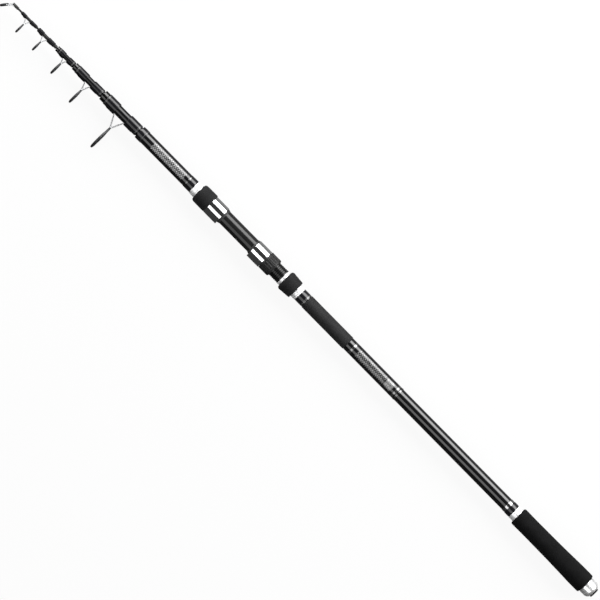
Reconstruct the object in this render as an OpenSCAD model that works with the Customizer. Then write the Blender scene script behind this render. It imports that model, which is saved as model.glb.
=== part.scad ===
// Telescopic fishing rod, closed, lying on its side.
// +X runs from the butt face to the tip, +Y is the side of the line guides, +Z is up.
// The origin is the centre of the flat face at the butt end. Millimetres.

/* [Butt section] */
// Outer radius of the butt blank at its rear end
butt_r_rear = 10.2; // [10.15:0.01:10.25]
// Outer radius of the butt blank at its mouth
butt_r_front = 9.9; // [9.85:0.01:9.95]
// Where the mouth of the butt section lies
butt_mouth = 939.6; // [938.6:0.1:939.8]
// Bore radius at the mouth, where the second section jams
butt_bore_front = 8.46; // [8.46:0.01:8.5]

/* [Inner sections] */
// Where the rear ends of the inner sections lie when closed
inner_rear = 42; // [41:0.5:42]
// Where the mouth of the second section lies
s2_mouth = 1015; // [1014.5:0.1:1015]
// Where the mouth of the third section lies
s3_mouth = 1074; // [1073.5:0.1:1074]
// Where the mouth of the fourth section lies
s4_mouth = 1110; // [1109.5:0.1:1110]
// Where the tip of the tip blank lies
tip_end = 1198; // [1197.5:0.1:1198]
// Outer radius of the tip blank at its tip
tip_r = 1.45; // [1.4:0.01:1.45]

/* [Butt grip and cap] */
// Radius of the grip's flared rear end
grip_r_rear = 15.9; // [15.5:0.1:15.9]
// Radius of the grip at its waist
grip_r_waist = 14.5; // [14.2:0.05:14.6]
// Radius of the grip's front end
grip_r_front = 14.7; // [14.4:0.05:14.9]
// Radius of the butt cap
cap_r = 12.9; // [12.4:0.1:13.2]

/* [Reel seat] */
// Radius of the seat body between the hoods
seat_r = 12.4; // [12.3:0.05:12.4]
// Radius of the thread's crests
thread_r = 12; // [11.9:0.05:12]
// Pitch of the thread
thread_pitch = 3; // [2.5:0.5:3]
// Height of the flat bed for the reel foot above the rod axis
bed_y = 10.5; // [10.4:0.05:10.5]
// Radius of the hood shells
hood_r = 14.2; // [14.2:0.05:14.3]
// Height of the hoods' roof on the foot side
hood_top = 15.35; // [15.35:0.05:15.5]
// Radius of the lock nut
nut_r = 14.8; // [14.6:0.05:14.9]
// Number of finger flutes on the lock nut
nut_flutes = 24; // [20:2:28]
// Largest radius of the bumper ring behind the seat
bumper_r = 16.1; // [15.7:0.1:16.1]
// Radius of the ring in front of the seat
front_ring_r = 15.4; // [15.1:0.1:15.5]

/* [Line guides] */
// Outer radius of the stripper guide's ring
stripper_r = 16.3; // [16:0.1:16.3]
// Distance of the stripper guide's ring centre from the rod axis
stripper_h = 49.7; // [49:0.1:50]
// Width of the guides' strip legs
leg_w = 3.2; // [3:0.1:3.2]

/* [Hidden] */
$fn = 96;

butt_rear = 20;
s2_r0 = 8.5;  s2_r1 = 7.7;
s3_r0 = 6.5;  s3_r1 = 5.4;
s4_r0 = 4.3;  s4_r1 = 3.9;
tip_r0 = 2.9;
hood_in = 13.17;       // inner radius of the hood shells
pocket_w = 12.8;       // width of the pockets for the reel foot
pocket_top = hood_top - 0.6;
fixed_u0 = 768.5;  fixed_u1 = 793.0;  fixed_stop = 779;
slide_u0 = 680.0;  slide_u1 = 703.3;  slide_stop = 692;
thread_u0 = 643.9; thread_u1 = 694;

// A value that runs straight from v0 at u0 to v1 at u1
function along(u, u0, v0, u1, v1) = v0 + (v1 - v0) * (u - u0) / (u1 - u0);
function butt_r(u) = along(u, butt_rear, butt_r_rear, butt_mouth, butt_r_front);
function s2_r(u) = along(u, inner_rear, s2_r0, s2_mouth, s2_r1);
function s3_r(u) = along(u, inner_rear, s3_r0, s3_mouth, s3_r1);
function s4_r(u) = along(u, inner_rear, s4_r0, s4_mouth, s4_r1);

// Turns a shape made along +Z so that it lies along +X
module lay() rotate([0, 90, 0]) children();

// Body of revolution about the rod axis from [radius, distance from the butt] points
module rev(points) lay() rotate_extrude() polygon(points);

// Ring on the butt blank with chamfered edges
module butt_ring(u0, u1, r_out, c = 0.3)
    rev([[butt_r(u0) + 0.015, u0], [r_out - c, u0], [r_out, u0 + c], [r_out, u1 - c], [r_out - c, u1], [butt_r(u1) + 0.015, u1]]);

// Straight strip between two points of a plane
module strip2d(p, q, t) {
    d = (q - p) / norm(q - p);
    n = [-d[1], d[0]] * t / 2;
    polygon([p + n, q + n, q - n, p - n]);
}

// ---------- butt section ----------

module butt_blank() color([0.06, 0.06, 0.07])
    rev([[8.86, butt_rear], [butt_r_rear, butt_rear], [butt_r_front, butt_mouth], [butt_bore_front, butt_mouth]]);

module butt_bush() color([0.55, 0.56, 0.58])
    rev([[7.2, 20.4], [8.84, 20.4], [8.84, 39.4], [8.45, 40], [7.2, 40]]);

module butt_grip() color([0.11, 0.11, 0.115])
    rev([[butt_r_rear + 0.1, 18.9], [grip_r_rear - 2.2, 18.9], [grip_r_rear - 1, 19.3], [grip_r_rear - 0.35, 20.3], [grip_r_rear, 21.5], [grip_r_rear, 41.5],
        [grip_r_rear - 0.4, 55], [along(0.75, 0, grip_r_rear, 1, grip_r_waist), 85], [grip_r_waist + 0.1, 118], [grip_r_waist, 132],
        [grip_r_front - 0.05, 150], [grip_r_front, 154.6], [grip_r_front - 0.35, 156.6], [grip_r_front - 1.1, 157.7], [grip_r_front - 2, 158],
        [butt_r(158) + 0.015, 158], [butt_r(20) + 0.015, 20.3], [butt_r_rear + 0.1, 20.2]]);

module grip_check() color([0.8, 0.8, 0.82]) butt_ring(158.1, 166.8, 11.1, 0.7);
module lower_wrap() color([0.08, 0.08, 0.09]) butt_ring(166.9, 176, butt_r(170) + 0.75);
module lower_band() color([0.72, 0.73, 0.75]) butt_ring(176.05, 181.3, butt_r(178) + 0.4, 0.2);
module label_band() color([0.75, 0.76, 0.78]) butt_ring(404.6, 408, butt_r(406) + 0.6);
module label_sleeve() color([0.35, 0.36, 0.38]) butt_ring(408.05, 509, butt_r(410) + 0.35, 0.15);
module fore_sleeve() color([0.16, 0.16, 0.165]) butt_ring(509.1, 594.5, butt_r(510) + 1.05, 0.4);
module fore_wrap() color([0.09, 0.09, 0.1]) butt_ring(594.6, 608.5, butt_r(600) + 0.7);
module fore_check() color([0.8, 0.8, 0.82]) butt_ring(608.6, 616.9, 11.1, 0.7);
module seat_spacer() color([0.8, 0.8, 0.82]) butt_ring(639.5, 643.8, 12.1, 0.5);
module front_check() color([0.8, 0.8, 0.82]) butt_ring(817.6, 827.2, 11.1, 0.7);
module upper_wrap() color([0.08, 0.08, 0.09]) butt_ring(827.3, 838, butt_r(830) + 0.4);
module upper_band() color([0.72, 0.73, 0.75]) butt_ring(838.05, 840.6, butt_r(839) + 0.4, 0.2);
module mouth_wrap() color([0.1, 0.1, 0.11]) butt_ring(927.5, butt_mouth, butt_r(930) + 0.6);

module bumper_ring() color([0.13, 0.13, 0.135])
    rev([[butt_r(617) + 0.015, 617], [13.5, 617], [14.3, 617.5], [14.6, 618.6], [bumper_r - 0.1, 634.8], [bumper_r, 635.8],
        [bumper_r - 0.35, 637.2], [bumper_r - 1.2, 638.5], [bumper_r - 2.2, 639.4], [butt_r(639.4) + 0.015, 639.4]]);

module front_ring() color([0.17, 0.17, 0.175])
    rev([[butt_r(793) + 0.015, 793.1], [front_ring_r - 1.2, 793.1], [front_ring_r - 0.3, 793.6], [front_ring_r, 794.6], [front_ring_r, 815.6],
        [front_ring_r - 0.35, 816.9], [front_ring_r - 1.4, 817.5], [butt_r(817.5) + 0.015, 817.5]]);

// ---------- reel seat ----------

// Cross-section of a hood's foot side: a box on +Y with rounded corners
module foot_box2d(w, top, r) {
    translate([-w / 2, 7]) square([w, top - r - 7]);
    translate([r - w / 2, 7]) square([w - 2 * r, top - 7]);
    for (s = [-1, 1]) translate([s * (w / 2 - r), top - r]) circle(r, $fn = 48);
}

// Space for one end of the reel foot
module foot_pocket(u0, u1) lay() translate([0, 0, u0]) linear_extrude(u1 - u0) foot_box2d(pocket_w, pocket_top, 2.4);

// Block that fills a hood behind its pocket, down into the ring below it
module foot_block(u0, u1, bore) difference() {
    lay() translate([0, 0, u0]) linear_extrude(u1 - u0) foot_box2d(pocket_w - 0.04, pocket_top - 0.02, 2.38);
    lay() translate([0, 0, u0 - 1]) cylinder(r = bore, h = u1 - u0 + 2);
}

// Sides of a hood's foot box: straight lines that touch the round shell and the box's rounded corners
box_w = pocket_w + 1.9;
box_c = 3.2;
corner = [box_w / 2 - box_c, hood_top - box_c];
flank = atan2(corner[0], corner[1]) + acos((hood_r - box_c) / norm(corner));
flank_n = [sin(flank), cos(flank)];
module flanks2d() polygon([flank_n * hood_r, corner + flank_n * box_c,
    [-corner[0] - flank_n[0] * box_c, corner[1] + flank_n[1] * box_c], [-flank_n[0] * hood_r, flank_n[1] * hood_r]]);

// Outside of a hood: round shell with the foot box, open inside
module hood_shell(u0, u1) {
    rev([[hood_in, u0], [hood_r - 0.5, u0], [hood_r, u0 + 0.7], [hood_r, u1 - 0.7], [hood_r - 0.5, u1], [hood_in, u1]]);
    lay() translate([0, 0, u0]) linear_extrude(u1 - u0) difference() {
        union() {
            foot_box2d(box_w, hood_top, box_c);
            flanks2d();
        }
        circle(hood_in);
    }
}

// Thread crests and roots as one profile
function thread_points() = [for (u = [thread_u0 + 2 : thread_pitch : thread_u1 - 4]) each
    [[thread_r, u], [thread_r - 0.6, u + 0.7], [thread_r - 0.6, u + 1.1], [thread_r, u + 1.8]]];

// Groove under the seat for the sliding hood's key
module key_groove() translate([648, -14, -1.5]) cube([116, 3, 3]);

// Threaded barrel behind the bed
module seat_body() color([0.1, 0.1, 0.105]) difference() {
    rev(concat([[10.02, thread_u0], [thread_r, thread_u0]], thread_points(), [[thread_r, slide_stop - 0.01], [10.02, slide_stop - 0.01]]));
    key_groove();
}

// Length between the two stops, cut flat for the reel foot
module seat_bed() color([0.1, 0.1, 0.105]) difference() {
    rev([[10.02, slide_stop + 0.01], [thread_r, slide_stop + 0.01], [thread_r, thread_u1], [seat_r, thread_u1 + 0.6], [seat_r, fixed_stop - 0.01], [10.02, fixed_stop - 0.01]]);
    translate([slide_stop - 1, bed_y, -9]) cube([fixed_stop - slide_stop + 2, 10, 18]);
    key_groove();
}

// Round end under the fixed hood, with the stop for the foot
module seat_front() color([0.1, 0.1, 0.105]) {
    rev([[10.02, fixed_stop + 0.01], [hood_in - 0.02, fixed_stop + 0.01], [hood_in - 0.02, fixed_u1], [10.02, fixed_u1]]);
    foot_block(fixed_stop + 0.01, fixed_u1, hood_in - 1.6);
}

module fixed_liner() color([0.1, 0.1, 0.105]) difference() {
    rev([[seat_r + 0.02, 764.8], [seat_r + 0.3, 764.8], [13.5, fixed_u0 - 0.05], [hood_in - 0.02, fixed_u0 - 0.05], [hood_in - 0.02, fixed_stop - 0.01], [seat_r + 0.02, fixed_stop - 0.01]]);
    foot_pocket(fixed_u0 - 5, fixed_stop + 5);
}

module fixed_hood() color([0.82, 0.82, 0.84]) difference() {
    hood_shell(fixed_u0, fixed_u1);
    foot_pocket(fixed_u0 - 5, fixed_u1 + 5);
}

module sliding_hood() color([0.82, 0.82, 0.84]) difference() {
    hood_shell(slide_u0, slide_u1);
    foot_pocket(slide_u0 - 5, slide_u1 + 5);
}

// Ring inside the back of the sliding hood, with the stop for the foot and the key below
module hood_stop() color([0.1, 0.1, 0.105]) {
    rev([[seat_r + 0.06, slide_u0], [hood_in - 0.02, slide_u0], [hood_in - 0.02, slide_stop - 0.01], [seat_r + 0.06, slide_stop - 0.01]]);
    foot_block(slide_u0, slide_stop - 0.01, hood_in - 0.35);
    translate([681, -12.6, -1.2]) cube([10.9, 1.3, 2.4]);
}

module hood_liner() color([0.1, 0.1, 0.105]) difference() {
    rev([[seat_r + 0.06, slide_stop + 0.01], [hood_in - 0.02, slide_stop + 0.01], [hood_in - 0.02, slide_u1 + 0.05], [13.5, slide_u1 + 0.05], [seat_r + 0.36, 706.2], [seat_r + 0.06, 706.2]]);
    foot_pocket(slide_stop - 5, slide_u1 + 5);
}

module lock_nut() color([0.09, 0.09, 0.095]) difference() {
    rev([[thread_r + 0.1, 661], [nut_r - 1.2, 661], [nut_r, 662.8], [nut_r, 679.1], [nut_r - 0.4, 679.7], [thread_r + 0.1, 679.7]]);
    for (i = [0 : nut_flutes - 1]) lay() rotate([0, 0, i * 360 / nut_flutes]) translate([nut_r + 0.6, 0, 664.5]) cylinder(r = 1.1, h = 12.5, $fn = 32);
}

// ---------- butt cap ----------

module cap_seal() color([0.05, 0.05, 0.05]) lay() rotate_extrude() translate([8, 19.5]) circle(0.7, $fn = 40);

module butt_cap() color([0.83, 0.83, 0.85])
    rev([[0, 3.6], [7.7, 3.6], [7.7, 2.4], [8.5, 2.4], [cap_r - 2.4, 4.1], [cap_r - 0.9, 6.1], [cap_r, 8.9], [cap_r, 17.9], [cap_r - 0.4, 18.7],
        [7.1, 18.7], [7.1, 33.4], [6.6, 34], [5, 34], [5, 12], [0, 12]]);

module cap_pad() color([0.08, 0.08, 0.08]) rev([[0, 0], [6.9, 0], [7.5, 0.6], [7.65, 1.3], [7.65, 3.58], [0, 3.58]]);

module section_buffer() color([0.08, 0.08, 0.08])
    rev([[0, 27], [4.96, 27], [4.96, 34.03], [6.7, 34.03], [6.7, 37], [6.0, 38], [0, 38]]);

// ---------- line guides ----------

// Strip leg with its foot in the plane of the rod axis and the ring's centre; the foot is ground thinner than the leg.
// top is where the legs meet, foot_u0 the foot's end at the leg, foot_u1 its far end, y the underside of the foot, w the strip's width.
foot_thin = 0.76;
module leg(top, foot_u0, foot_u1, y, t, w = leg_w) {
    s = foot_u1 > foot_u0 ? 1 : -1;
    tf = t * foot_thin;
    foot = [[foot_u0, y], [foot_u1, y], [foot_u1, y + tf * 0.5], [foot_u0 + s * 5, y + tf], [foot_u0 + s * 1.1, y + tf], [foot_u0, y + t]];
    linear_extrude(w, center = true) {
        strip2d(top, [foot_u0, y + t / 2], t);
        translate(top) circle(t * 0.75, $fn = 32);
        translate([foot_u0, y + t / 2]) circle(t / 2, $fn = 32);
        polygon(s > 0 ? foot : [for (i = [5 : -1 : 0]) foot[i]]);
    }
}

// Two arms from where the legs meet to the flanks of the ring, and the band around the ring
module ring_seat(u, h, r, meet, band, spread) difference() {
    union() {
        lay() translate([0, h, u]) rotate_extrude() polygon([[r - 0.9, -band / 2], [r - 0.2, -band / 2], [r, 0.2 - band / 2], [r, band / 2 - 0.2], [r - 0.2, band / 2], [r - 0.9, band / 2]]);
        for (s = [-1, 1]) lay() translate([0, 0, u - band / 2]) linear_extrude(band)
            strip2d([s * 0.6, meet - 0.6], [s * (r - 0.5) * sin(spread), h - (r - 0.5) * cos(spread)], 1.9);
    }
    lay() translate([0, h, u]) cylinder(r = r - 0.9, h = 20, center = true);
}

// Ring insert: rounded on the inside, with a groove outside that holds the band
module insert(r, bore, w, band) rotate_extrude() polygon(concat(
    [for (a = [90 : 18 : 270]) [r - 1.1 + (r - 1.1 - bore) * cos(a), w / 2 * sin(a)]],
    [[r - 0.3, 0.25 - w / 2], [r - 0.2, -band / 2], [r - 0.9, -band / 2], [r - 0.9, band / 2], [r - 0.2, band / 2], [r - 0.3, w / 2 - 0.25]]));

// Cross-section of a wrap: thread all round the blank, a low hump over the foot and the channel that the foot lies in
module wrap2d(r_in, rise, y, t, w, dip) difference() {
    union() {
        circle(r_in + rise);
        if (t > 0) translate([0, y - dip]) circle(norm([w / 2, dip + t]) + 0.32, $fn = 96);
    }
    circle(r_in);
    if (t > 0) translate([-w / 2 - 0.03, y - 0.8]) square([w + 0.06, t + 0.83]);
}

// Thread wrap over a guide foot, in three steps that run out towards the foot's far end.
// u0 is the end at the leg, u1 the far end, f0 and f1 the ends of the foot, r the blank's largest radius there,
// y the underside of the foot, t the leg's thickness, rise the thread's thickness, dip the depth of the hump's centre.
module foot_wrap(u0, u1, f0, f1, r, y, t, rise, w = leg_w, dip = 2) {
    s = u1 > u0 ? 1 : -1;
    tf = t * foot_thin;
    m = u0 + (u1 - u0) * 0.45;
    e = f1 + s * 0.4;
    t_mid = along(max(s * m, s * f0 + 5), s * f0 + 5, tf, s * f1, tf * 0.5);
    for (k = [[u0, m, tf], [m, e, t_mid], [e, u1, 0]])
        lay() translate([0, 0, min(k[0], k[1])]) linear_extrude(abs(k[1] - k[0])) wrap2d(r + 0.012, rise, y, k[2], w, dip);
}

// ---------- second section, stripper guide ----------

s2_ur = 973.7;
s2_meet = 25;
s2_t = 1.7;
s2_yf = s2_r(983) + 0.02;
s2_yr = s2_r(941) + 0.02;

module section2_blank() color([0.06, 0.06, 0.07]) rev([[7.3, inner_rear], [s2_r0, inner_rear], [s2_r1, s2_mouth], [6.38, s2_mouth]]);
module section2_guide_frame() color([0.85, 0.85, 0.87]) {
    leg([s2_ur, s2_meet], 983.6, 1003, s2_yf, s2_t);
    leg([s2_ur, s2_meet], 965.6, 945.5, s2_yr, s2_t);
    ring_seat(s2_ur, stripper_h, stripper_r, s2_meet, 2.7, 42);
}
module section2_guide_ring() color([0.2, 0.2, 0.21]) lay() translate([0, stripper_h, s2_ur]) insert(stripper_r, stripper_r - 3.3, 3.6, 2.7);
module section2_wraps() color([0.1, 0.1, 0.11]) {
    foot_wrap(985.2, 1007.6, 983.6, 1003, s2_r(985.2), s2_yf, s2_t, 1.35);
    foot_wrap(964, 941, 965.6, 945.5, s2_r(941), s2_yr, s2_t, 1.35);
}
module section2_mouth_trim() color([0.6, 0.61, 0.63])
    rev([[s2_r(1007.9) + 0.015, 1007.9], [s2_r1 + 0.4, 1007.9], [s2_r1 + 0.6, 1008.2], [s2_r1 + 0.6, s2_mouth - 0.3], [s2_r1 + 0.3, s2_mouth], [s2_r1 + 0.015, s2_mouth]]);

// ---------- third section ----------

s3_ur = 1042;
s3_meet = 16.4;
s3_t = 1.45;
s3_yf = s3_r(1046) + 0.02;
s3_yr = s3_r(1016.5) + 0.02;

module section3_blank() color([0.06, 0.06, 0.07])
    rev([[5.3, inner_rear], [s3_r0, inner_rear], [s3_r1, s3_mouth], [4.29, s3_mouth], [4.37, s3_mouth - 260]]);
module section3_guide_frame() color([0.85, 0.85, 0.87]) {
    leg([s3_ur, s3_meet], 1046.2, 1064, s3_yf, s3_t);
    leg([s3_ur, s3_meet], 1037.6, 1020.5, s3_yr, s3_t);
    ring_seat(s3_ur, 32, 10.9, s3_meet, 2.4, 44);
}
module section3_guide_ring() color([0.2, 0.2, 0.21]) lay() translate([0, 32, s3_ur]) insert(10.9, 8.3, 3.2, 2.4);
module section3_wraps() color([0.1, 0.1, 0.11]) {
    foot_wrap(1047.6, 1068.6, 1046.2, 1064, s3_r(1047.6), s3_yf, s3_t, 1.15);
    foot_wrap(1036.4, 1016.5, 1037.6, 1020.5, s3_r(1016.5), s3_yr, s3_t, 1.15);
}
module section3_mouth_trim() color([0.6, 0.61, 0.63])
    rev([[s3_r(1068.8) + 0.015, 1068.8], [s3_r1 + 0.4, 1068.8], [s3_r1 + 0.6, 1069.1], [s3_r1 + 0.6, s3_mouth - 0.3], [s3_r1 + 0.3, s3_mouth], [s3_r1 + 0.015, s3_mouth]]);

// ---------- fourth section ----------

s4_ur = 1090.6;
s4_meet = 10.6;
s4_t = 1.3;
s4_yf = s4_r(1092) + 0.02;
s4_yr = s4_r(1075) + 0.02;

module section4_blank() color([0.06, 0.06, 0.07])
    rev([[3.3, inner_rear], [s4_r0, inner_rear], [s4_r1, s4_mouth], [2.69, s4_mouth], [3.0, s4_mouth - 206]]);
module section4_guide_frame() color([0.85, 0.85, 0.87]) {
    leg([s4_ur, s4_meet], 1093.4, 1104, s4_yf, s4_t);
    leg([s4_ur, s4_meet], 1087.8, 1077.5, s4_yr, s4_t);
    ring_seat(s4_ur, 22.7, 9.85, s4_meet, 2.3, 44);
}
module section4_guide_ring() color([0.2, 0.2, 0.21]) lay() translate([0, 22.7, s4_ur]) insert(9.85, 7.45, 3.0, 2.3);
module section4_wraps() color([0.1, 0.1, 0.11]) {
    foot_wrap(1094.4, 1106, 1093.4, 1104, s4_r(1094.4), s4_yf, s4_t, 0.9);
    foot_wrap(1086.8, 1075, 1087.8, 1077.5, s4_r(1075), s4_yr, s4_t, 0.9);
}
module section4_mouth_trim() color([0.6, 0.61, 0.63])
    rev([[s4_r(1106.2) + 0.015, 1106.2], [s4_r1 + 0.35, 1106.2], [s4_r1 + 0.5, 1106.5], [s4_r1 + 0.5, s4_mouth - 0.3], [s4_r1 + 0.25, s4_mouth], [s4_r1 + 0.015, s4_mouth]]);

// ---------- tip section and floating guides ----------

tt_dir = [0.604, 0.797];
tt_c = [1208.8, 10.3];
tt_r = 6.9;
tt_bore = tip_r + 0.07;

module tip_blank() color([0.06, 0.06, 0.07]) rev([[0, inner_rear], [tip_r0, inner_rear], [2.55, 260], [tip_r, tip_end], [0, tip_end]]);

module at_tip_ring() translate([tt_c[0], tt_c[1], 0]) rotate([0, 0, atan2(tt_dir[1], tt_dir[0]) - 90]) rotate([0, 90, 0]) children();

module tip_top_frame() color([0.3, 0.3, 0.32]) difference() {
    union() {
        rev([[tt_bore, 1190], [1.95, 1190], [2.25, 1190.6], [2.25, 1200.2], [1.5, 1201.4], [0, 1201.6], [0, 1198.06], [tt_bore, 1198.06]]);
        linear_extrude(leg_w, center = true) {
            strip2d([1200, 0.9], tt_c - tt_dir * (tt_r - 0.5), 1.7);
            translate([1200, 0.9]) circle(0.85, $fn = 32);
        }
        at_tip_ring() rotate_extrude() polygon([[tt_r - 0.9, -1.1], [tt_r - 0.2, -1.1], [tt_r, -0.9], [tt_r, 0.9], [tt_r - 0.2, 1.1], [tt_r - 0.9, 1.1]]);
    }
    at_tip_ring() cylinder(r = tt_r - 0.9, h = 12, center = true);
    rev([[0, 1180], [tt_bore, 1180], [tt_bore, 1198.06], [0, 1198.06]]);
}
module tip_top_ring() color([0.2, 0.2, 0.21]) at_tip_ring() insert(tt_r, 4.8, 3.4, 2.2);

// Sleeve of a floating guide: it slides along the tip blank until it jams on its taper
module float_sleeve(u0, u1, bore, out)
    rev([[bore + 0.1, u0], [out - 0.2, u0], [out, u0 + 0.25], [out, u1 - 0.25], [out - 0.2, u1], [bore + 0.1, u1], [bore, u1 - 0.3], [bore, u0 + 0.3]]);

// Frame of a floating guide: two legs with feet on the sleeve, and the ring's seat
module float_frame(u, h, r, meet, front, rear, y, t, w) {
    leg([u, meet], front[0], front[1], y, t, w);
    leg([u, meet], rear[0], rear[1], y, t, w);
    ring_seat(u, h, r, meet, 2.1, 42);
}

lf_out = 2.8;  lf_t = 1.0;  lf_w = 2.2;
lf_front = [1137, 1146.4];  lf_rear = [1129.6, 1118];
module lower_float_sleeve() color([0.1, 0.1, 0.105]) float_sleeve(1111.2, 1149, 2.24, lf_out);
module lower_float_frame() color([0.3, 0.3, 0.32]) float_frame(1133.4, 21, 6.9, 9.4, lf_front, lf_rear, lf_out + 0.02, lf_t, lf_w);
module lower_float_wraps() color([0.1, 0.1, 0.11]) {
    foot_wrap(1138.2, 1148.2, lf_front[0], lf_front[1], lf_out, lf_out + 0.02, lf_t, 0.7, lf_w, 0.8);
    foot_wrap(1128.4, 1115.6, lf_rear[0], lf_rear[1], lf_out, lf_out + 0.02, lf_t, 0.7, lf_w, 0.8);
}
module lower_float_ring() color([0.2, 0.2, 0.21]) lay() translate([0, 21, 1133.4]) insert(6.9, 4.9, 2.8, 2.1);

uf_out = 2.2;  uf_t = 0.9;  uf_w = 1.8;
uf_front = [1172.4, 1180.2];  uf_rear = [1165.4, 1155];
module upper_float_sleeve() color([0.1, 0.1, 0.105]) float_sleeve(1151, 1183, 1.88, uf_out);
module upper_float_frame() color([0.3, 0.3, 0.32]) float_frame(1168.9, 20.3, 6.5, 9.2, uf_front, uf_rear, uf_out + 0.02, uf_t, uf_w);
module upper_float_wraps() color([0.1, 0.1, 0.11]) {
    foot_wrap(1173.6, 1182, uf_front[0], uf_front[1], uf_out, uf_out + 0.02, uf_t, 0.45, uf_w, 0.6);
    foot_wrap(1164.2, 1152.6, uf_rear[0], uf_rear[1], uf_out, uf_out + 0.02, uf_t, 0.45, uf_w, 0.6);
}
module upper_float_ring() color([0.2, 0.2, 0.21]) lay() translate([0, 20.3, 1168.9]) insert(6.5, 4.55, 2.8, 2.1);

butt_blank();
butt_bush();
butt_grip();
grip_check();
lower_wrap();
lower_band();
label_band();
label_sleeve();
fore_sleeve();
fore_wrap();
fore_check();
bumper_ring();
seat_spacer();
seat_body();
seat_bed();
seat_front();
fixed_liner();
fixed_hood();
front_ring();
front_check();
upper_wrap();
upper_band();
mouth_wrap();
sliding_hood();
hood_stop();
hood_liner();
lock_nut();
cap_seal();
butt_cap();
cap_pad();
section_buffer();
section2_blank();
section2_guide_frame();
section2_guide_ring();
section2_wraps();
section2_mouth_trim();
section3_blank();
section3_guide_frame();
section3_guide_ring();
section3_wraps();
section3_mouth_trim();
section4_blank();
section4_guide_frame();
section4_guide_ring();
section4_wraps();
section4_mouth_trim();
tip_blank();
tip_top_frame();
tip_top_ring();
lower_float_sleeve();
lower_float_frame();
lower_float_wraps();
lower_float_ring();
upper_float_sleeve();
upper_float_frame();
upper_float_wraps();
upper_float_ring();
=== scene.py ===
import math

import bmesh
import bpy
from mathutils import Matrix, Vector


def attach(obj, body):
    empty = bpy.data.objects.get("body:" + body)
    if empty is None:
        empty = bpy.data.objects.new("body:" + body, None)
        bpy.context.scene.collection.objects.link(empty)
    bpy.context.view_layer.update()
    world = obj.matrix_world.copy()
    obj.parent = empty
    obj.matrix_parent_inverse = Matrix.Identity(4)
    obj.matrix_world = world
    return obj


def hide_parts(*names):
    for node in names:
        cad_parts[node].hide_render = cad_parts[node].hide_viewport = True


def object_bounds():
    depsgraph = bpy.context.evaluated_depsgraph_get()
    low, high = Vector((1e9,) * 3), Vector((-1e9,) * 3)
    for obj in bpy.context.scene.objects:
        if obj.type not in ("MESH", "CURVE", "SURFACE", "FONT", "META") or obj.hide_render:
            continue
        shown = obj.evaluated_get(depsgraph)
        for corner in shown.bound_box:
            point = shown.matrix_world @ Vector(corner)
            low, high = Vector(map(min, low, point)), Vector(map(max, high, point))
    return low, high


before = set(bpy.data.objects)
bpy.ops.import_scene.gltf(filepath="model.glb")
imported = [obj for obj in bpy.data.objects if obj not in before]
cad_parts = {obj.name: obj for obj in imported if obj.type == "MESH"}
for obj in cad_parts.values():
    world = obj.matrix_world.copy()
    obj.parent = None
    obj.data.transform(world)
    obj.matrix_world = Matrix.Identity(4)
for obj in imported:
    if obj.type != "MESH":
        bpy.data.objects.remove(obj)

cad_lo, cad_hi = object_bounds()
MM = 0.001
TAU = 2.0 * math.pi

# ---------------------------------------------------------------- camera

cam_data = bpy.data.cameras.new("camera")
cam = bpy.data.objects.new("camera", cam_data)
bpy.context.scene.collection.objects.link(cam)
bpy.context.scene.camera = cam
cam_data.lens = 300.0
cam_data.sensor_width = 36.0
cam_data.clip_end = 400.0
VIEW_W = 0.870
away = VIEW_W * cam_data.lens / 36.0
right = Vector((-0.70206, -0.71212, 0.0))
up = Vector((0.71212, -0.70206, 0.0))
back = Vector((0.0, 0.0, 1.0))
spot = Vector((0.6028, 0.0055, 0.0)) + back * away
cam.matrix_world = Matrix(
    (
        (right.x, up.x, back.x, spot.x),
        (right.y, up.y, back.y, spot.y),
        (right.z, up.z, back.z, spot.z),
        (0.0, 0.0, 0.0, 1.0),
    )
)

# ---------------------------------------------------------------- node helper


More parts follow.
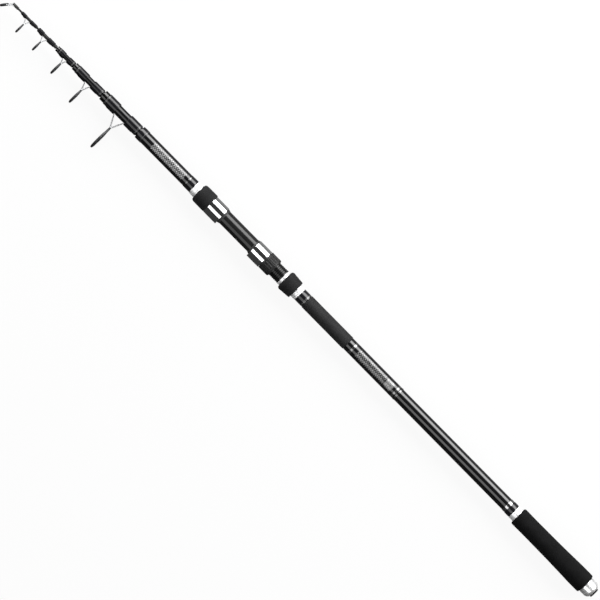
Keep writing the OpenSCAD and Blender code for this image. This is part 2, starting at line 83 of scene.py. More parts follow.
class Paint:
    """A procedural material: object coordinates are metres in the part's own frame."""

    def __init__(self, name):
        self.m = bpy.data.materials.new(name)
        self.m.use_nodes = True
        self.t = self.m.node_tree
        self.b = self.t.nodes["Principled BSDF"]
        tc = self.t.nodes.new("ShaderNodeTexCoord")
        self.obj = tc.outputs["Object"]
        sep = self.t.nodes.new("ShaderNodeSeparateXYZ")
        self.t.links.new(self.obj, sep.inputs[0])
        self.x, self.y, self.z = sep.outputs
        self.ang = self.math("ARCTAN2", self.z, self.y)

    def put(self, node, key, value):
        if hasattr(value, "is_output"):
            self.t.links.new(value, node.inputs[key])
        else:
            node.inputs[key].default_value = value

    def math(self, op, a, b=None, c=None, clamp=False):
        n = self.t.nodes.new("ShaderNodeMath")
        n.operation = op
        n.use_clamp = clamp
        for i, v in enumerate((a, b, c)):
            if v is not None:
                self.put(n, i, v)
        return n.outputs[0]

    def stretch(self, sx, sy, sz):
        n = self.t.nodes.new("ShaderNodeVectorMath")
        n.operation = "MULTIPLY"
        self.put(n, 0, self.obj)
        n.inputs[1].default_value = (sx, sy, sz)
        return n.outputs[0]

    def noise(self, sx, sy=None, sz=None, detail=3.0, rough=0.55, twist=0.0):
        n = self.t.nodes.new("ShaderNodeTexNoise")
        sy = sx if sy is None else sy
        sz = sy if sz is None else sz
        self.put(n, "Vector", self.stretch(sx, sy, sz))
        n.inputs["Scale"].default_value = 1.0
        n.inputs["Detail"].default_value = detail
        n.inputs["Roughness"].default_value = rough
        n.inputs["Distortion"].default_value = twist
        return n.outputs["Fac"]

    def cells(self, scale):
        n = self.t.nodes.new("ShaderNodeTexVoronoi")
        self.put(n, "Vector", self.stretch(scale, scale, scale))
        n.inputs["Scale"].default_value = 1.0
        return n.outputs["Distance"]

    def wave(self, pitch, turns=0.0, phase=0.0):
        """0..1 ripple along the rod, with `turns` starts round it."""
        a = self.math("MULTIPLY", self.x, TAU / pitch)
        if turns:
            a = self.math("ADD", a, self.math("MULTIPLY", self.ang, turns))
        s = self.math("SINE", self.math("ADD", a, phase) if phase else a)
        return self.math("MULTIPLY_ADD", s, 0.5, 0.5)

    def span(self, x0, x1, soft=0.0002):
        """1 between x0 and x1 (metres along the rod), 0 outside."""
        n = self.t.nodes.new("ShaderNodeMapRange")
        n.interpolation_type = "SMOOTHSTEP"
        self.put(n, 0, self.x)
        n.inputs[1].default_value, n.inputs[2].default_value = x0 - soft, x0 + soft
        m = self.t.nodes.new("ShaderNodeMapRange")
        m.interpolation_type = "SMOOTHSTEP"
        self.put(m, 0, self.x)
        m.inputs[1].default_value, m.inputs[2].default_value = x1 - soft, x1 + soft
        m.inputs[3].default_value, m.inputs[4].default_value = 1.0, 0.0
        return self.math("MULTIPLY", n.outputs[0], m.outputs[0])

    def spans(self, pairs, soft=0.0002):
        total = None
        for a, b in pairs:
            s = self.span(a, b, soft)
            total = s if total is None else self.math("MAXIMUM", total, s)
        return total

    def map(self, v, a, b, c, d, smooth=True):
        n = self.t.nodes.new("ShaderNodeMapRange")
        n.interpolation_type = "SMOOTHSTEP" if smooth else "LINEAR"
        self.put(n, 0, v)
        for i, k in enumerate((a, b, c, d)):
            n.inputs[1 + i].default_value = k
        return n.outputs[0]

    def ramp(self, v, *stops):
        n = self.t.nodes.new("ShaderNodeValToRGB")
        self.put(n, 0, v)
        e = n.color_ramp.elements
        while len(e) < len(stops):
            e.new(0.5)
        for el, (p, c) in zip(e, stops):
            el.position = p
            el.color = (*c, 1.0) if isinstance(c, tuple) else (c, c, c, 1.0)
        return n.outputs[0]

    def mix(self, f, a, b):
        n = self.t.nodes.new("ShaderNodeMix")
        n.data_type = "RGBA"
        self.put(n, 0, f)
        for k, v in ((6, a), (7, b)):
            if not hasattr(v, "is_output"):
                v = (*v, 1.0) if isinstance(v, tuple) else (v, v, v, 1.0)
            self.put(n, k, v)
        return n.outputs[2]

    def edges(self, lo=0.505, hi=0.56):
        g = self.t.nodes.new("ShaderNodeNewGeometry")
        return self.map(g.outputs["Pointiness"], lo, hi, 0.0, 1.0)

    def bump(self, height, depth, strength=1.0, over=None):
        n = self.t.nodes.new("ShaderNodeBump")
        n.inputs["Strength"].default_value = strength
        n.inputs["Distance"].default_value = depth
        self.put(n, "Height", height)
        if over is not None:
            self.put(n, "Normal", over)
        return n.outputs[0]

    def set(self, **kw):
        for k, v in kw.items():
            key = {
                "color": "Base Color", "rough": "Roughness", "metal": "Metallic",
                "normal": "Normal", "coat": "Coat Weight", "coat_rough": "Coat Roughness",
                "coat_normal": "Coat Normal", "ior": "IOR", "sheen": "Sheen Weight",
                "spec": "Specular IOR Level", "aniso": "Anisotropic",
                "sheen_rough": "Sheen Roughness", "coat_ior": "Coat IOR",
            }[k]
            if key == "Base Color" and not hasattr(v, "is_output"):
                v = (*v, 1.0) if isinstance(v, tuple) else (v, v, v, 1.0)
            self.put(self.b, key, v)
        return self.m


# ---------------------------------------------------------------- materials


def lacquered_carbon(name, prints=(), coat=1.0, coat_rough=0.05, rings=()):
    """Gloss black blank: fibres along the rod, faint tape windings, clear lacquer.
    `prints` are (x0, x1, kind) zones of plain silver hatching, `rings` thin silver lines round it."""
    p = Paint(name)
    fibre = p.noise(26.0, 2600.0, detail=4.0, rough=0.65)
    cloud = p.noise(30.0, 160.0, detail=2.0)
    tape = p.wave(0.0052, 1.0)
    col = p.ramp(fibre, (0.30, (0.0012, 0.0012, 0.0014)), (0.72, (0.0060, 0.0060, 0.0067)))
    col = p.mix(p.math("MULTIPLY", cloud, 0.45), col, (0.0030, 0.0030, 0.0034))
    rough = p.map(fibre, 0.25, 0.75, 0.30, 0.46)
    metal = None
    for x0, x1, kind in prints:
        zone = p.math("MULTIPLY", p.span(x0, x1, 0.0010), p.map(p.z, 0.0078, 0.0088, 0.0, 1.0))
        if kind == "solid":
            ink = p.map(p.wave(0.0016, 0.0), 0.04, 0.20, 0.25, 1.0)
        else:
            cross = p.math("MULTIPLY", p.wave(0.0034, 9.0), p.wave(0.0034, -9.0))
            ink = p.map(cross, 0.06, 0.34, 0.12, 1.0)
        worn = p.map(p.noise(210.0, 330.0, detail=5.0, rough=0.7), 0.36, 0.58, 0.30, 1.0)
        ink = p.math("MULTIPLY", p.math("MULTIPLY", ink, worn), zone)
        flake = p.noise(3200.0, detail=2.0)
        tone = {"solid": (0.17, 0.34), "bright": (0.20, 0.42), "hatch": (0.10, 0.24)}[kind]
        silver = p.ramp(flake, (0.25, tone[0]), (0.75, tone[1]))
        col = p.mix(ink, col, silver)
        rough = p.math("MULTIPLY_ADD", ink, 0.06, rough)
        metal = ink if metal is None else p.math("MAXIMUM", metal, ink)
    if rings:
        band = p.spans(rings, 0.0004)
        col = p.mix(band, col, 0.19)
        rough = p.math("MULTIPLY_ADD", band, -0.18, rough)
    height = p.math("ADD", p.math("MULTIPLY", fibre, 0.35), p.math("MULTIPLY", tape, 0.65))
    p.set(
        color=col, rough=rough, spec=0.015, coat=coat, coat_rough=coat_rough, coat_ior=1.62,
        normal=p.bump(height, 0.000020, 0.7),
        coat_normal=p.bump(p.math("ADD", tape, p.math("MULTIPLY", cloud, 1.5)), 0.0000035, 0.8),
    )
    if rings:
        p.set(metal=p.math("MAXIMUM", p.math("MULTIPLY", metal, 0.30), p.math("MULTIPLY", band, 0.95)))
    elif metal is not None:
        p.set(metal=p.math("MULTIPLY", metal, 0.30))
    return p.m


def thread_wrap(name, inlay=(), tint=(0.0065, 0.0065, 0.0078), coat=1.0):
    """Thread turns under a gloss coat, with optional silver thread turns."""
    p = Paint(name)
    turn = p.wave(0.00026, 1.0)
    wob = p.noise(1400.0, 260.0, detail=3.0)
    # painted shade: the grooves between thread turns, low in the bump, are painted darker
    dark = p.mix(turn, tuple(0.25 * c for c in tint), tint)
    dark = p.mix(p.math("MULTIPLY", wob, 0.5), dark, tuple(1.9 * c for c in tint))
    rough = p.map(wob, 0.2, 0.8, 0.34, 0.52)
    p.set(coat=coat, coat_rough=0.06, spec=0.02)
    if inlay:
        z = p.spans(inlay, 0.00012)
        # painted shade: the silver turns are painted darker in the grooves between them
        light = p.mix(turn, 0.05, 0.17)
        p.set(color=p.mix(z, dark, light), metal=p.math("MULTIPLY", z, 0.9), rough=rough)
    else:
        p.set(color=dark, rough=rough)
    p.set(
        normal=p.bump(turn, 0.00006, 0.9),
        coat_normal=p.bump(p.noise(160.0, 120.0, detail=2.0), 0.00011, 0.5),
    )
    return p.m


def silver_thread(name, light, lo, hi):
    """Metal thread turns laid side by side under a clear coat."""
    p = Paint(name)
    turn = p.wave(0.00030, 1.0)
    wob = p.noise(900.0, 300.0)
    # painted shade: the grooves between metal turns, low in the bump, are painted darker
    col = p.mix(turn, 0.55 * light, light)
    p.set(
        color=p.mix(p.math("MULTIPLY", wob, 0.4), col, 0.6 * light),
        metal=1.0, rough=p.map(wob, 0.25, 0.75, lo, hi), coat=0.6, coat_rough=0.06,
        normal=p.bump(turn, 0.00004, 0.35),
    )
    return p.m


def turned_metal(name, light=(0.90, 0.905, 0.91), lo=0.30, hi=0.44, metal=1.0):
    """Bright turned aluminium: fine cutter lines round the axis, a painted highlight on sharp edges."""
    p = Paint(name)
    line = p.noise(9000.0, 14.0, detail=4.0, rough=0.75)
    spotty = p.noise(420.0, detail=4.0)
    col = p.mix(p.map(spotty, 0.45, 0.75, 0.0, 0.30), light, tuple(0.80 * c for c in light))
    # painted highlight: sharp (pointy) edges are painted lighter
    col = p.mix(p.math("MULTIPLY", p.edges(), 0.25), col, (0.97, 0.97, 0.97))
    p.set(
        color=col, metal=metal,
        rough=p.math("ADD", p.map(line, 0.3, 0.7, lo, hi), p.map(spotty, 0.4, 0.8, 0.0, 0.06)),
        normal=p.bump(line, 0.000010, 0.8),
    )
    return p.m


def plated(name, light, lo, hi, haze=0.25, metal=1.0):
    """Polished plated or stainless steel with faint haze and hairline rubs."""
    p = Paint(name)
    smear = p.noise(160.0, detail=5.0, rough=0.6)
    rub = p.noise(700.0, 5200.0, 700.0, detail=3.0, rough=0.7)
    col = p.mix(p.map(smear, 0.45, 0.80, 0.0, haze), light, tuple(0.72 * c for c in light))
    # painted highlight: sharp (pointy) edges are painted brighter than the plate
    col = p.mix(p.math("MULTIPLY", p.edges(0.51, 0.58), 0.25), col, tuple(min(1.0, 1.06 * c) for c in light))
    rough = p.math("ADD", p.map(smear, 0.35, 0.8, lo, hi), p.map(rub, 0.55, 0.8, 0.0, 0.05))
    p.set(color=col, metal=metal, rough=rough, normal=p.bump(rub, 0.000004, 0.6))
    return p.m


def foam_rubber(name, lo, hi, r0, r1, cell=1900.0, depth=0.00009, edge=0.35, sheen=0.0):
    """Matte closed-cell grip material: small cells with painted shade in their pits, soft mottling, a painted highlight
    on sharp edges.
    """
    p = Paint(name)
    c = p.cells(cell)
    fine = p.noise(cell * 1.6, detail=4.0, rough=0.7)
    cloud = p.noise(60.0, 90.0, detail=4.0)
    col = p.ramp(cloud, (0.30, lo), (0.72, hi))
    # painted shade: the pits at the cell centres, low in the bump, are painted darker
    col = p.mix(p.map(c, 0.05, 0.55, 0.45, 0.0), col, tuple(0.45 * k for k in lo))
    # painted highlight: sharp (pointy) edges are painted lighter
    col = p.mix(p.math("MULTIPLY", p.edges(), edge), col, tuple(2.6 * k for k in hi))
    p.set(
        color=col, rough=p.map(fine, 0.25, 0.75, r0, r1), spec=0.08,
        normal=p.bump(p.math("ADD", c, p.math("MULTIPLY", fine, 0.8)), depth, 0.8),
    )
    if sheen:
        p.set(sheen=sheen, sheen_rough=0.5)
    return p.m


def shrink_sleeve(name):
    """Heat-shrunk rubber sleeve with a fine crossed-thread texture."""
    p = Paint(name)
    a = p.wave(0.0016, 40.0)
    b = p.wave(0.0016, -40.0)
    x = p.math("MAXIMUM", a, b)
    grain = p.noise(3500.0, detail=3.0)
    cloud = p.noise(50.0, 110.0, detail=3.0)
    col = p.ramp(cloud, (0.3, (0.0125, 0.0125, 0.0130)), (0.7, (0.0190, 0.0190, 0.0196)))
    # painted shade: the hollows of the crossed texture, low in the bump, are painted darker
    col = p.mix(p.map(x, 0.2, 0.9, 0.55, 0.0), col, (0.0055, 0.0055, 0.0058))
    p.set(
        color=col, rough=p.map(grain, 0.3, 0.7, 0.55, 0.72), spec=0.10,
        normal=p.bump(p.math("ADD", x, p.math("MULTIPLY", grain, 0.3)), 0.00016, 0.9),
    )
    return p.m


def moulded(name, lo=0.008, hi=0.014, r0=0.30, r1=0.44, spec=0.22, depth=0.000022, edge_highlight=0.5):
    """Black moulded seat plastic with a fine spark grain and a painted highlight on sharp edges."""
    p = Paint(name)
    grain = p.noise(4200.0, detail=3.0, rough=0.6)
    cloud = p.noise(140.0, detail=4.0)
    col = p.ramp(cloud, (0.3, lo), (0.7, hi))
    # painted highlight: sharp (pointy) edges are painted lighter
    col = p.mix(p.math("MULTIPLY", p.edges(), edge_highlight), col, 0.045)
    p.set(
        color=col, rough=p.math("ADD", p.map(grain, 0.3, 0.7, r0, r1), p.map(cloud, 0.5, 0.8, 0.0, 0.3 * r0)),
        spec=spec, normal=p.bump(grain, depth, 0.8),
    )
    return p.m


def ceramic(name):
    """Dark polished guide-ring ceramic."""
    p = Paint(name)
    grain = p.noise(5200.0, detail=3.0)
    cloud = p.noise(260.0, detail=3.0)
    col = p.ramp(cloud, (0.3, (0.008, 0.0082, 0.0090)), (0.7, (0.017, 0.0174, 0.0190)))
    p.set(
        color=p.mix(p.map(grain, 0.55, 0.75, 0.0, 0.5), col, (0.034, 0.035, 0.037)),
        rough=p.map(grain, 0.3, 0.7, 0.30, 0.42), spec=0.12,
        normal=p.bump(grain, 0.000004, 0.6),
    )
    return p.m


M = {
    "butt": lacquered_carbon("carbon_butt", [(0.8475, 0.9120, "bright")]),
    "section2": lacquered_carbon("carbon_section2", (), 0.60, 0.07),
    "section3": lacquered_carbon("carbon_section3", (), 0.36, 0.09),
    "section4": lacquered_carbon("carbon_section4", (), 0.18, 0.12),
    "tip": lacquered_carbon("carbon_tip", (), 0.12, 0.14),
    "label": lacquered_carbon(
        "carbon_printed", [(0.4335, 0.4900, "hatch"), (0.4180, 0.4318, "solid")],
        rings=[(0.4098, 0.4128), (0.4972, 0.5004)],
    ),
    "grip": foam_rubber("grip_foam", (0.0030, 0.0030, 0.0031), (0.0052, 0.0052, 0.0054), 0.80, 0.94),
    "ring_rubber": foam_rubber("ring_rubber", (0.0085, 0.0085, 0.0088), (0.0130, 0.0130, 0.0134), 0.62, 0.80, cell=2600.0, depth=0.00005),
    "pad": foam_rubber("pad_rubber", (0.010, 0.010, 0.010), (0.016, 0.016, 0.016), 0.58, 0.76, cell=2400.0, depth=0.00006),
    "sleeve": shrink_sleeve("shrink_sleeve"),
    "aluminium": turned_metal("turned_aluminium", (0.86, 0.862, 0.866), 0.34, 0.48, 0.62),
    "cap": turned_metal("turned_cap", (0.92, 0.922, 0.926), 0.24, 0.34, 0.80),
    "trim": silver_thread("silver_thread", 0.62, 0.10, 0.18),
    "soft_trim": silver_thread("silver_thread_soft", 0.17, 0.16, 0.26),
    "dark_trim": silver_thread("dark_trim", 0.040, 0.16, 0.26),
    "black_chrome": plated("black_chrome", (0.019, 0.0194, 0.0206), 0.46, 0.58, 0.25, 0.35),
    "seat": moulded("seat_plastic", 0.0026, 0.0050, 0.08, 0.13, 0.36, 0.000009, 0.12),
    "nut": moulded("nut_plastic", 0.006, 0.011, 0.34, 0.50),
    "chrome": plated("chrome_plate", (0.92, 0.925, 0.93), 0.060, 0.110),
    "steel": plated("guide_steel", (0.46, 0.464, 0.472), 0.28, 0.40, 0.25, 0.70),
    "ceramic": ceramic("guide_ceramic"),
}

# ---------------------------------------------------------------- mesh helpers


def shells_of(bm):
    """Groups of faces that plain edges join, in the mesh's own order."""
    bm.faces.index_update()
    bm.faces.ensure_lookup_table()
    seen = [False] * len(bm.faces)
    for f0 in bm.faces:
        if seen[f0.index]:
            continue
        seen[f0.index] = True
        group, todo = [f0], [f0]
        while todo:
            for e in todo.pop().edges:
                if len(e.link_faces) != 2:
                    continue
                for f in e.link_faces:
                    if not seen[f.index]:
                        seen[f.index] = True
                        group.append(f)
                        todo.append(f)
        yield group


def turn_out(bm):
    """Every closed shell faces outwards, and slivers that enclose nothing are dropped."""
    flip, stray = [], []
    for group in list(shells_of(bm)):
        if len(group) < 4:
            stray += group
            continue
        vol = 0.0
        for f in group:
            c = [q.co for q in f.verts]
            for i in range(1, len(c) - 1):
                vol += c[0].dot(c[i].cross(c[i + 1]))
        if vol < 0.0:
            flip += group
    if flip:
        bmesh.ops.reverse_faces(bm, faces=flip)
    if stray:
        bmesh.ops.delete(bm, geom=stray, context="FACES")


def link(name, me, mat, body, nodes=(), slot=None, sharp=34.0):
    bm = bmesh.new()
    bm.from_mesh(me)
    bmesh.ops.remove_doubles(bm, verts=bm.verts, dist=2e-7)
    bmesh.ops.recalc_face_normals(bm, faces=bm.faces)
    turn_out(bm)
    bm.to_mesh(me)
    bm.free()
    me.materials.clear()
    me.materials.append(mat)
    for f in me.polygons:
        f.use_smooth = True
    me.set_sharp_from_angle(angle=math.radians(sharp))
    ob = bpy.data.objects.new(name, me)
    bpy.context.scene.collection.objects.link(ob)
    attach(ob, body)
    if nodes:
        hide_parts(*nodes)
    return ob


def repaint(ob, mat, test):
    """Gives the faces whose centre (mm) passes the test another finish."""
    ob.data.materials.append(mat)
    k = len(ob.data.materials) - 1
    for f in ob.data.polygons:
        c = f.center / MM
        if test(c):
            f.material_index = k


def mesh(name, verts, faces):
    me = bpy.data.meshes.new(name)
    me.from_pydata([(x * MM, y * MM, z * MM) for x, y, z in verts], [], faces)
    me.validate()
    return me


def fillet(pts, radius, closed=True, n=4):
    """Rounds a 2-D polyline's corners; radius is one number or one per point."""
    out = []
    m = len(pts)
    for i, (x, y) in enumerate(pts):
        r = radius[i] if isinstance(radius, (list, tuple)) else radius
        if r <= 0 or (not closed and i in (0, m - 1)):
            out.append((x, y))
            continue
        px, py = pts[i - 1]
        qx, qy = pts[(i + 1) % m]
        ax, ay, bx, by = px - x, py - y, qx - x, qy - y
        la, lb = math.hypot(ax, ay), math.hypot(bx, by)
        if la < 1e-9 or lb < 1e-9:
            out.append((x, y))
            continue
        ax, ay, bx, by = ax / la, ay / la, bx / lb, by / lb
        cosv = max(-1.0, min(1.0, ax * bx + ay * by))
        half = math.acos(cosv) / 2
        if half > math.radians(88.5):
            out.append((x, y))
            continue
        d = min(r / math.tan(half), la * 0.48, lb * 0.48)
        rr = d * math.tan(half)
        p0, p1 = (x + ax * d, y + ay * d), (x + bx * d, y + by * d)
        k = math.hypot(ax + bx, ay + by)
        cx, cy = x + (ax + bx) / k * rr / math.sin(half), y + (ay + by) / k * rr / math.sin(half)
        a0, a1 = math.atan2(p0[1] - cy, p0[0] - cx), math.atan2(p1[1] - cy, p1[0] - cx)
        da = (a1 - a0 + math.pi) % TAU - math.pi
        for j in range(n + 1):
            a = a0 + da * j / n
            out.append((cx + rr * math.cos(a), cy + rr * math.sin(a)))
    return out


def rings(rows, nth, closed=True):
    """Rows of (u, radius or function of angle) into a skin; closed joins last to first."""
    verts, faces = [], []
    for u, r in rows:
        for j in range(nth):
            a = TAU * j / nth
            k = r(a) if callable(r) else r
            verts.append((u, k * math.cos(a), k * math.sin(a)))
    m = len(rows)
    for i in range(m if closed else m - 1):
        a, b = i * nth, ((i + 1) % m) * nth
        for j in range(nth):
            k = (j + 1) % nth
            faces.append((a + j, a + k, b + k, b + j))
    if not closed:
        for row in (0, m - 1):
            verts.append((rows[row][0], 0.0, 0.0))
            c = len(verts) - 1
            for j in range(nth):
                faces.append((row * nth + j, row * nth + (j + 1) % nth, c))
    return verts, faces


def turned(name, prof, mat, body, nodes, slot, nth=96, closed=True, sharp=34.0):
    """A turned piece: prof is (u, radius) points, closed as a tube or solid to the axis."""
    v, f = rings(prof, nth, closed)
    return link(name, mesh(name, v, f), mat, body, nodes, slot, sharp)


def curve(pts, per=6):
    """Catmull-Rom through (u, r) points."""
    out = []
    for i in range(len(pts) - 1):
        p0 = pts[max(i - 1, 0)]
        p1, p2 = pts[i], pts[i + 1]
        p3 = pts[min(i + 2, len(pts) - 1)]
        for j in range(per):
            t = j / per
            out.append(
                tuple(
                    0.5 * (2 * b + (c - a) * t + (2 * a - 5 * b + 4 * c - d) * t * t + (3 * b - a - 3 * c + d) * t ** 3)
                    for a, b, c, d in zip(p0, p1, p2, p3)
                )
            )
    out.append(pts[-1])
    return out


def lerp(u, u0, r0, u1, r1):
    return r0 + (r1 - r0) * (u - u0) / (u1 - u0)


def tube(name, outer, inner, mat, body, nodes, slot, lip=0.25, nth=96, step=28.0):
    """A tapered tube: outer and inner are (u, r) points along the rod, with rounded mouths."""

    def at(line, u):
        for (a, ra), (b, rb) in zip(line, line[1:]):
            if u <= b:
                return lerp(u, a, ra, b, rb)
        return line[-1][1]

    u0, u1 = outer[0][0], outer[-1][0]
    n = max(2, int((u1 - u0) / step))
    us = [u0 + lip + (u1 - u0 - 2 * lip) * i / n for i in range(n + 1)]
    rows = [(u0, at(outer, u0) - lip), (u0 + 0.3 * lip, at(outer, u0) - 0.3 * lip)]
    rows += [(u, at(outer, u)) for u in us]
    rows += [(u1 - 0.3 * lip, at(outer, u1) - 0.3 * lip), (u1, at(outer, u1) - lip)]
    if inner:
        rows += [(u1, at(inner, u1) + lip * 0.6), (u1 - 0.6 * lip, at(inner, u1))]
        rows += [(u, at(inner, u)) for u in reversed(us[:: max(1, n // 6)])]
        rows += [(u0, at(inner, u0))]
    return turned(name, rows, mat, body, nodes, slot, nth, closed=bool(inner))


def sweep(path, sizes, a_dir, n=20, power=3.2, caps=True):
    """A bar along path with half sizes (a, b): a along a_dir, b across it."""
    verts, faces = [], []
    m = len(path)
    a_dir = Vector(a_dir)
    for i, p in enumerate(path):
        p = Vector(p)
        t = (Vector(path[min(i + 1, m - 1)]) - Vector(path[max(i - 1, 0)])).normalized()
        a = (a_dir - t * a_dir.dot(t)).normalized()
        b = t.cross(a)
        ha, hb = sizes[i]
        for j in range(n):
            th = TAU * (j + 0.5) / n
            c, s = math.cos(th), math.sin(th)
            ca = math.copysign(abs(c) ** (2 / power), c)
            sb = math.copysign(abs(s) ** (2 / power), s)
            verts.append(tuple(p + a * (ha * ca) + b * (hb * sb)))
    for i in range(m - 1):
        for j in range(n):
            k = (j + 1) % n
            faces.append((i * n + j, i * n + k, (i + 1) * n + k, (i + 1) * n + j))
    if caps:
        faces.append(tuple(range(n)))
        faces.append(tuple((m - 1) * n + j for j in range(n)))
    return verts, faces


def bend(points, radius, n=8):
    """Rounds the corners of a 3-D polyline."""
    out = [Vector(points[0])]
    for i in range(1, len(points) - 1):
        p, q, r = (Vector(points[k]) for k in (i - 1, i, i + 1))
        rad = radius[i - 1] if isinstance(radius, (list, tuple)) else radius
        a, b = (p - q), (r - q)
        la, lb = a.length, b.length
        a.normalize(); b.normalize()
        half = math.acos(max(-1.0, min(1.0, a.dot(b)))) / 2
        d = min(rad / math.tan(half), la * 0.49, lb * 0.49)
        s, e = q + a * d, q + b * d
        for j in range(n + 1):
            t = j / n
            out.append(s * (1 - t) ** 2 + q * (2 * t * (1 - t)) + e * t * t)
    out.append(Vector(points[-1]))
    return [tuple(v) for v in out]


def refine(path, step):
    """Adds points so no straight stretch is longer than step."""
    out = [path[0]]
    for p, q in zip(path, path[1:]):
        v = Vector(q) - Vector(p)
        k = max(1, int(math.ceil(v.length / step)))
        out += [tuple(Vector(p) + v * (j / k)) for j in range(1, k + 1)]
    return out


def united(name, shells):
    """One closed mesh from overlapping closed shells."""
    obs = []
    lo, hi = Vector((1e9,) * 3), Vector((-1e9,) * 3)
    for i, (v, f) in enumerate(shells):
        me = mesh(f"{name}_{i}", v, f)
        bm = bmesh.new()
        bm.from_mesh(me)
        bmesh.ops.recalc_face_normals(bm, faces=bm.faces)
        for q in bm.verts:
            lo = Vector(map(min, lo, q.co))
            hi = Vector(map(max, hi, q.co))
        bm.to_mesh(me)
        bm.free()
        ob = bpy.data.objects.new(f"{name}_{i}", me)
        bpy.context.scene.collection.objects.link(ob)
        obs.append(ob)
    for other in obs[1:]:
        mod = obs[0].modifiers.new("u", "BOOLEAN")
        mod.operation = "UNION"
        mod.solver = "EXACT"
        mod.use_self = True
        mod.object = other
    dg = bpy.context.evaluated_depsgraph_get()
    me = bpy.data.meshes.new_from_object(obs[0].evaluated_get(dg))
    for ob in obs:
        bpy.data.objects.remove(ob, do_unlink=True)
    me.name = name
    for k in range(3):
        reach = [q.co[k] for q in me.vertices]
        if abs(min(reach) - lo[k]) > 3e-5 or abs(max(reach) - hi[k]) > 3e-5:
            raise RuntimeError(f"{name}: a shell was lost in the union")
    bm = bmesh.new()
    bm.from_mesh(me)
    bmesh.ops.triangulate(bm, faces=bm.faces)
    bm.to_mesh(me)
    bm.free()
    return me


def torus_band(centre, r_in, r_out, width, radius, normal=(1, 0, 0), nth=72, n=3):
    """A ring band round `centre` with rounded edges; normal is its axis."""
    prof = fillet([(-width / 2, r_in), (-width / 2, r_out), (width / 2, r_out), (width / 2, r_in)], radius, True, n)
    return ring_from(prof, centre, normal, nth)


def ring_from(prof, centre, normal, nth=72):
    nx = Vector(normal).normalized()
    e1 = Vector((0, 0, 1))
    e2 = nx.cross(e1).normalized()
    c = Vector(centre)
    verts, faces = [], []
    for w, r in prof:
        for j in range(nth):
            a = TAU * j / nth
            verts.append(tuple(c + nx * w + e1 * (r * math.cos(a)) + e2 * (r * math.sin(a))))
    m = len(prof)
    for i in range(m):
        for j in range(nth):
            k, i2 = (j + 1) % nth, (i + 1) % m
            faces.append((i * nth + j, i * nth + k, i2 * nth + k, i2 * nth + j))
    return verts, faces


def insert_profile(bore, outer, width):
    """Ceramic ring: domed bore, rounded shoulders that stand out of the frame."""
    pts = []
    h = width / 2
    for j in range(13):
        a = math.pi * j / 12
        pts.append((-h * math.cos(a), bore + 0.42 * (outer - bore) * (1 - math.sin(a) ** 0.9)))
    pts += [(h, outer - 0.18), (h - 0.18, outer), (-h + 0.18, outer), (-h, outer - 0.18)]
    return pts


# ---------------------------------------------------------------- butt section


def butt_r(u):
    return lerp(u, 20.0, 10.2, 939.6, 9.9)


tube(
    "butt_tube", [(20.0, 10.2), (939.6, 9.9)], [(20.0, 8.86), (939.6, 8.46)],
    M["butt"], "butt", ["butt_blank"], "blank", lip=0.35,
)

grip_out = curve(
    [(21.5, 15.9), (32.0, 15.92), (41.5, 15.9), (55.0, 15.5), (85.0, 14.85), (118.0, 14.6), (132.0, 14.5), (150.0, 14.65), (154.6, 14.7)],
    7,
)
grip = [(20.2, 10.3), (18.9, 10.3), (18.9, 13.7)]
grip += curve([(18.9, 13.7), (19.02, 14.3), (19.3, 14.9), (19.7, 15.32), (20.3, 15.63), (20.9, 15.82), (21.5, 15.9)], 2)[1:-1]
grip += grip_out
grip += curve([(154.6, 14.7), (155.7, 14.6), (156.6, 14.35), (157.25, 14.0), (157.7, 13.6), (157.93, 13.15), (158.0, 12.7)], 2)[1:]
grip += [(158.0, 10.22)]
turned("butt_grip_foam", grip, M["grip"], "butt", ["butt_grip"], "grip", nth=128)


def check_ring(name, u0, u1, r, node, grooves):
    """Turned check: rounded edges and shallow cutter grooves."""
    c = 0.7
    pts = [(u0, r - c), (u0 + 0.25 * c, r - 0.28 * c), (u0 + c, r)]
    for g in grooves:
        pts += [(g - 0.42, r), (g - 0.22, r - 0.22), (g, r - 0.3), (g + 0.22, r - 0.22), (g + 0.42, r)]
    pts += [(u1 - c, r), (u1 - 0.25 * c, r - 0.28 * c), (u1, r - c)]
    inner = [(u1, butt_r(u1) + 0.02), (u0, butt_r(u0) + 0.02)]
    turned(name, pts + inner, M["aluminium"], "butt", [node], "aluminium")


check_ring("grip_check_ring", 158.1, 166.8, 11.1, "grip_check", [160.6, 164.3])
check_ring("fore_check_ring", 608.6, 616.9, 11.1, "fore_check", [611.0, 614.5])
check_ring("front_check_ring", 817.6, 827.2, 11.1, "front_check", [820.0, 824.8])


def coat(name, u0, u1, rise, mat, node, slot, ramp=1.6, swell=0.05, body="butt", base=butt_r, nth=96):
    """A wrap or sleeve: feathered ends and a slightly domed coat."""
    top = base((u0 + u1) / 2) + rise
    ramp = min(ramp, (u1 - u0) * 0.35)
    pts = [(u0, base(u0) + 0.03), (u0 + 0.02, base(u0) + rise * 0.35)]
    for t in (0.15, 0.35, 0.6, 1.0):
        pts.append((u0 + ramp * t, base(u0) + rise * (0.35 + 0.65 * math.sin(t * math.pi / 2))))
    n = max(3, int((u1 - u0) / 6))
    for i in range(1, n):
        u = u0 + ramp + (u1 - u0 - 2 * ramp) * i / n
        pts.append((u, base(u) + rise + swell * math.sin(math.pi * i / n)))
    for t in (1.0, 0.6, 0.35, 0.15):
        pts.append((u1 - ramp * t, base(u1) + rise * (0.35 + 0.65 * math.sin(t * math.pi / 2))))
    pts += [(u1 - 0.02, base(u1) + rise * 0.35), (u1, base(u1) + 0.03)]
    pts += [(u1, base(u1) + 0.02), (u0, base(u0) + 0.02)]
    return turned(name, pts, mat, body, [node], slot, nth)


